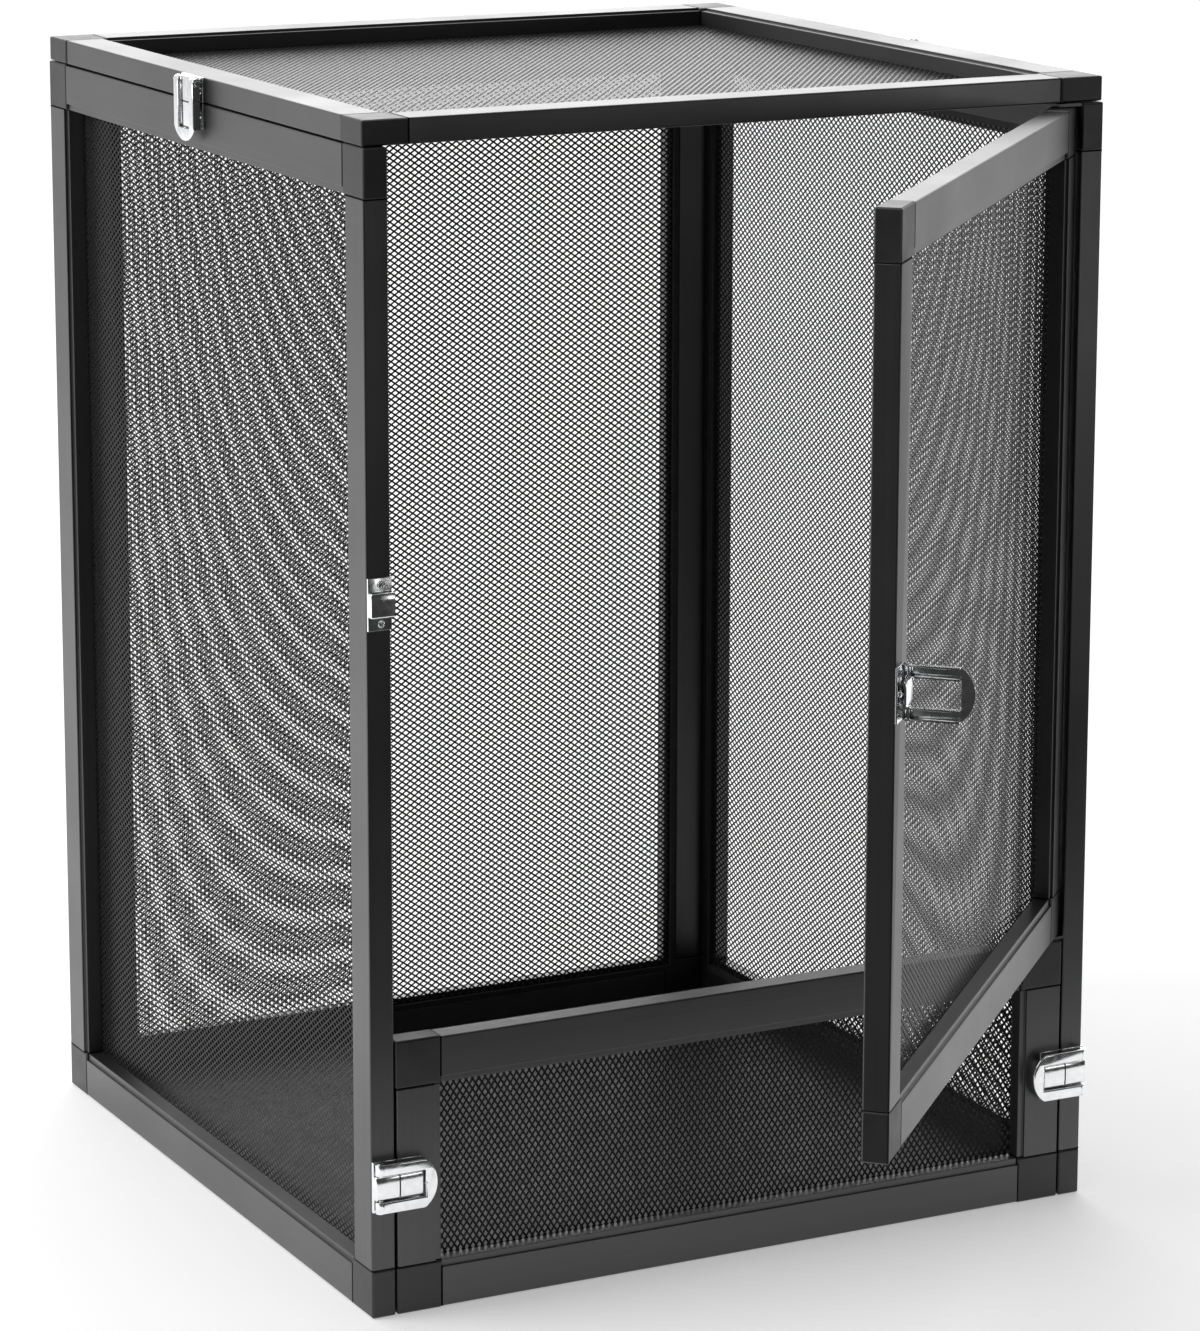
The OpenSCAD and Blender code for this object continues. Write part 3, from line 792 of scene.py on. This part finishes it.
def shell(outer, inner):
    """A closed solid between two stacks of cross-sections, open at the first and closed by the last."""
    vertices = [point for ring in outer + inner for point in ring]
    rows, count = len(outer), len(outer[0])
    layer = rows * count
    faces = []
    for first in (0, layer):
        for row in range(first, first + layer - count, count):
            for k in range(row, row + count - 1):
                faces.append((k, k + 1, k + count + 1, k + count))
        faces.append(tuple(range(first + layer - count, first + layer)))
    faces.extend((k, k + 1, layer + k + 1, layer + k) for k in range(count - 1))
    for row in range(0, layer - count, count):
        for foot in (row, row + count - 1):
            faces.append((foot, foot + count, layer + foot + count, layer + foot))
    faces.append((layer - count, layer - 1, 2 * layer - 1, 2 * layer - count))
    return vertices, faces


def latch_half(side, drop):
    """A plate with its block; side is 1 where the lever's tip lies, and -1 where the lever pivots."""
    parts = [
        stacked([rectangle(SEAM_HALF, -PLATE_HALF, FAR, PLATE_HALF)], rounded(-drop, PLATE_T, PLATE_EDGE)),
        shell(block_rings(BLOCK_HALF, BLOCK_TOP, FAR, BLOCK_EDGE),
              block_rings(BLOCK_HALF - BLOCK_T, BLOCK_TOP - BLOCK_T, FAR - BLOCK_T, BLOCK_EDGE / 2)),
    ]
    if side < 0:
        lip = rectangle(FAR - LIP_T, LIP_IN - PLATE_HALF, FAR - LIP_IN, PLATE_HALF - LIP_IN)
        parts.append(stacked([lip], rounded(LIP_IN - drop, LIP_TOP, PLATE_EDGE)))
    return [turned(part, Matrix.Diagonal((side, 1, 1))) for part in parts]


print("a latch half has", sum(len(part[1]) for part in latch_half(-1, CONNECTOR_PROUD)), "faces")

# %% [markdown]
# The lever is one sheet with two arms, a round tip and a window between them. The edges of each arm are
# folded down into a channel, which shows as two bright troughs when the lever stands open, and each arm's
# end is curled round the pivot pin. A little dome in the window's end presses on the far block and keeps
# the lever shut. An outline can be stacked in any direction, so the channel is stacked along the arm and
# the curl along the pivot.

# %% Lever
PIVOT_BACK, PIVOT_UP = 10.2, 3.8
LEVER_HALF, LEVER_LOW, LEVER_HIGH, LEVER_EDGE = 13.0, 5.5, 6.5, 0.85
WINDOW_HALF, WINDOW_END = 6.9, 13.8
STRAIGHT_TO = WINDOW_END - 1
TIP_OUT, TIP_R = 20.5, 15.7
SHEET_T, ARM_LOW, SHOULDER_R, TROUGH_R = 0.7, 2.4, 1.2, 1.9
SLACK = 0.05
EAR_R, CURL_R, CURL_T = 2.2, 2.7, 0.7
CURL_STEPS, CURL_FROM, CURL_BY = 12, 90, 115
CURL_TURNS = [math.radians(CURL_FROM + CURL_BY * k / CURL_STEPS) for k in range(CURL_STEPS + 1)]
THIN_EDGE, ARM_EDGE, UNDER_EDGE = 0.2, 0.15, 0.1
TIP_POINTS, TIP_REACH = 25, 0.985
PIN_R, PIN_FROM, PIN_HEAD_R, PIN_HEAD_T = 0.9, 5.3, 1.4, 0.35
NUB_R, NUB_AT, NUB_LOW, NUB_HIGH = 0.8, 14.15, 5.4, 6.75
ALONG_PIVOT = Matrix(((1, 0, 0), (0, 0, 1), (0, 1, 0)))
ALONG_ARM = Matrix(((0, 0, 1), (1, 0, 0), (0, 1, 0)))


def arc(centre, radius, turns):
    return [Vector((centre[0] + radius * math.cos(t), centre[1] + radius * math.sin(t))) for t in turns]


def arm_section():
    """The channel of one arm, seen along the arm."""
    left, right, top = WINDOW_HALF + SLACK, LEVER_HALF - SLACK, LEVER_HIGH - SLACK
    shoulder, trough = top - SHOULDER_R, top - SHEET_T - TROUGH_R
    rising = [math.pi / 2 - t for t in reversed(QUARTER)]
    falling = [math.pi / 2 + t for t in QUARTER]
    outside = [Vector((right, ARM_LOW))] + arc((right - SHOULDER_R, shoulder), SHOULDER_R, rising)
    outside += arc((left + SHOULDER_R, shoulder), SHOULDER_R, falling) + [Vector((left, ARM_LOW))]
    left, right = left + SHEET_T, right - SHEET_T
    inside = [Vector((left, ARM_LOW))] + arc((left + TROUGH_R, trough), TROUGH_R, falling[::-1])
    inside += arc((right - TROUGH_R, trough), TROUGH_R, rising[::-1]) + [Vector((right, ARM_LOW))]
    return outside + inside


def lever_outline():
    """The two arms and the round tip, anticlockwise from the lower arm's pivot end."""
    side = math.asin(LEVER_HALF * TIP_REACH / TIP_R)
    tip = arc((TIP_OUT - TIP_R, 0), TIP_R, np.linspace(-side, side, TIP_POINTS).tolist())
    lower = [Vector((-PIVOT_BACK, -LEVER_HALF)), Vector((STRAIGHT_TO, -LEVER_HALF))]
    upper = [Vector((STRAIGHT_TO, LEVER_HALF)), Vector((-PIVOT_BACK, LEVER_HALF))]
    window = [Vector((-PIVOT_BACK, WINDOW_HALF)), Vector((WINDOW_END, WINDOW_HALF)),
              Vector((WINDOW_END, -WINDOW_HALF)), Vector((-PIVOT_BACK, -WINDOW_HALF))]
    return lower + tip + upper + window


def lever(opened=0):
    """All parts of a lever, turned open about its pivot by an angle in degrees."""
    pivot = (-PIVOT_BACK, PIVOT_UP)
    curl = arc(pivot, CURL_R, CURL_TURNS) + arc(pivot, CURL_R - CURL_T, CURL_TURNS[::-1])
    head = domed(LEVER_HALF, LEVER_HALF + PIN_HEAD_T, PIN_HEAD_R)
    arm = [stacked([circle(EAR_R, at=pivot)], rounded(low, low + SHEET_T, THIN_EDGE))
           for low in (WINDOW_HALF, LEVER_HALF - SHEET_T)]
    arm.append(stacked([curl], rounded(WINDOW_HALF + 2 * SLACK, LEVER_HALF - 2 * SLACK, THIN_EDGE)))
    arm.append(stacked([circle(PIN_R, at=pivot)], rounded(PIN_FROM, LEVER_HALF, THIN_EDGE)))
    arm.append(stacked([circle(PIN_HEAD_R, at=pivot)], head))
    arm = [turned(part, ALONG_PIVOT) for part in arm]
    arm.append(turned(stacked([arm_section()], rounded(-PIVOT_BACK, WINDOW_END, ARM_EDGE)), ALONG_ARM))
    parts = [turned(part, Matrix.Diagonal((1, side, 1))) for part in arm for side in (1, -1)]
    parts.append(stacked([lever_outline()], rounded(LEVER_LOW, LEVER_HIGH, UNDER_EDGE, LEVER_EDGE)))
    parts.append(stacked([circle(NUB_R, at=(NUB_AT, 0))], domed(NUB_LOW, NUB_HIGH, NUB_R)))
    about = Matrix.Translation((-PIVOT_BACK, 0, PIVOT_UP))
    swing = about @ Matrix.Rotation(math.radians(-opened), 4, "Y") @ about.inverted()
    return [turned(part, swing) for part in parts]


print("a lever has", sum(len(part[1]) for part in lever()), "faces")

# %% [markdown]
# The screws have low domed heads with a cross recess. A dark cross in the finish would look flat from close
# by, so the recess is a cross-shaped hole in the upper half of the head, which the light can fall into.

# %% Screws and rivets
SCREW_OUT, SCREW_OFF, HEAD_R, HEAD_T = 6.2, 9.85, 1.9, 0.9
HEAD_SIDES, HEAD_EDGE, HEAD_FLAT, HEAD_EASE = 32, 0.05, 0.32, 0.12
CROSS_FROM, CROWN_FROM = 0.45 * HEAD_T, 0.85 * HEAD_T
SHANK_R, SHANK_EDGE, CROSS_LONG, CROSS_HALF = 1.15, 0.1, 1.25, 0.32
RIVET_R, RIVET_T, RIVET_SUNK = 2.6, 2.2, 0.1
TURN_FOR_OFFSET = 3


def cross():
    """The recess, clockwise because it is a hole."""
    quarter = [(CROSS_LONG, -CROSS_HALF), (CROSS_LONG, CROSS_HALF), (CROSS_HALF, CROSS_HALF)]
    points = [Vector(p) for p in quarter]
    loop = []
    for turn in range(4):
        loop.extend(Matrix.Rotation(turn * math.pi / 2, 2) @ p for p in points)
    return loop[::-1]


def screw(base, shank_low):
    """A screw whose head rests at one height and whose shank reaches down to another."""
    half = base + CROSS_FROM
    crown = [(half - HEAD_EDGE, 0), (half, 0), (base + CROWN_FROM, HEAD_EASE), (base + HEAD_T, HEAD_FLAT)]
    return [
        stacked([circle(SHANK_R)], rounded(shank_low, base + 2 * SHANK_EDGE, SHANK_EDGE)),
        stacked([circle(HEAD_R, HEAD_SIDES)], rounded(base, half, HEAD_EDGE)),
        stacked([circle(HEAD_R, HEAD_SIDES), cross()], crown),
    ]


def fixings(side):
    """The two screws and the rivet of one latch half, each screw driven home to a different turn."""
    parts = []
    for off in (-SCREW_OFF, SCREW_OFF):
        driven = Matrix.Rotation(math.radians(TURN_FOR_OFFSET * off), 4, "Z")
        place = Matrix.Translation((side * SCREW_OUT, off, 0)) @ driven
        parts.extend(turned(part, place) for part in screw(PLATE_T, 0))
    rivet = stacked([circle(RIVET_R, HEAD_SIDES)], domed(PLATE_T - RIVET_SUNK, PLATE_T + RIVET_T, RIVET_R))
    return parts + [turned(rivet, Matrix.Translation((side * SCREW_OUT, 0, 0)))]


print("the fixings of a latch half have", sum(len(part[1]) for part in fixings(1)), "faces")

# %% [markdown]
# Every latch now gets its place. It comes from the latch's own pivot joint in the frame, so the pressed
# parts stand exactly on the solid ones that they replace. Each place is a matrix: across the seam, along
# the pivot, and out from the face. The door's keeper has no pivot, so it is placed by its own box, and the
# two screws of the hinge brackets by the brackets' box.

# %% Places of the latches


def latch_place(origin, across, out):
    axes = Matrix((across, out.cross(across), out)).transposed().to_4x4()
    return Matrix.Translation(origin) @ axes @ Matrix.Scale(MM, 4)


def at_pivot(joint, across, out):
    pivot = Vector(JOINTS[joint]["pos_m"])
    return latch_place(pivot + across * PIVOT_BACK * MM - out * PIVOT_UP * MM, across, out)


keeper_low, keeper_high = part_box("door_keeper")
bracket_low, bracket_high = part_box("hinge_brackets")
BRACKET_T, BRACKET_SCREW_IN, BRACKET_SCREW_UP = 1.6 * MM, 5.2 * MM, 11.6 * MM
KEEPER_SEAM = Vector((
    keeper_high.x + SEAM_HALF * MM, keeper_high.y - CONNECTOR_PROUD * MM, (keeper_low.z + keeper_high.z) / 2
))
PLACES = {
    "lower_left": at_pivot("lower_latch_left_turn", X, -Y),
    "lower_right": at_pivot("lower_latch_right_turn", -X, -Y),
    "lid_left": at_pivot("lid_latch_left_turn", -Z, -X),
    "lid_right": at_pivot("lid_latch_right_turn", -Z, X),
    "door": at_pivot("door_latch_turn", DOOR_TURN @ -X, DOOR_TURN @ -Y),
    "keeper": latch_place(KEEPER_SEAM, -X, -Y),
}
for name, z in (("low", bracket_low.z + BRACKET_SCREW_UP), ("top", bracket_high.z - BRACKET_SCREW_UP)):
    spot = Vector((bracket_high.x - BRACKET_T, bracket_high.y - BRACKET_SCREW_IN, z))
    PLACES[f"bracket_{name}"] = latch_place(spot, Z, -X)
print("places:", ", ".join(PLACES))

# %% [markdown]
# A frame part often stands for a whole group, such as both plates of a pair of latches. So a new piece is
# made from groups too: each group is a list of parts and the name of a place.

# %% Set the latches in place
OPENED = 90
LATCHES = {"lower": ("lower_left", "lower_right"), "lid": ("lid_left", "lid_right")}


def steel(node, body, *groups):
    """A bright steel piece that replaces a frame part; each group is a list of parts and a place."""
    parts = [turned(part, PLACES[place]) for group, place in groups for part in group]
    made = piece(f"pressed_{node}", joined(f"pressed_{node}", parts), CHROME, body)
    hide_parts(node)
    low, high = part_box(node)
    points = [v.co for v in made.data.vertices]
    past = [max(low[k] - min(p[k] for p in points), max(p[k] for p in points) - high[k]) for k in range(3)]
    print(made.name, len(made.data.polygons), "faces, past the old part by %.2f mm" % (max(past) / MM))


def at_both(part, kind):
    """A part at both latches of the lower panel or of the lid."""
    return [(part, place) for place in LATCHES[kind]]


BRACKET_SCREW = screw(0, -BRACKET_T / MM)
steel("lower_latch_plates", "enclosure", *at_both(latch_half(-1, CONNECTOR_PROUD), "lower"))
steel("lid_latch_plates", "lid", *at_both(latch_half(-1, CONNECTOR_PROUD), "lid"))
steel("door_latch_plate", "door", (latch_half(-1, 0), "door"))
steel("panel_keepers", "lower_panel", *at_both(latch_half(1, 0), "lower"))
steel("lid_keepers", "enclosure", *at_both(latch_half(1, 0), "lid"))
steel("door_keeper", "enclosure", (latch_half(1, CONNECTOR_PROUD), "keeper"))
steel("enclosure_screws", "enclosure", *at_both(fixings(-1), "lower"), *at_both(fixings(1), "lid"),
      (fixings(1), "keeper"), (BRACKET_SCREW, "bracket_low"), (BRACKET_SCREW, "bracket_top"))
steel("panel_screws", "lower_panel", *at_both(fixings(1), "lower"))
steel("door_screws", "door", (fixings(-1), "door"))
steel("lid_screws", "lid", *at_both(fixings(-1), "lid"))
for kind, places in LATCHES.items():
    for side, place in zip(("left", "right"), places):
        steel(f"{kind}_latch_{side}", f"{kind}_lever_{side}", (lever(), place))
steel("door_latch", "door_lever", (lever(OPENED), "door"))

# %% [markdown]
# ## Closing

# %% Update the scene
bpy.context.view_layer.update()
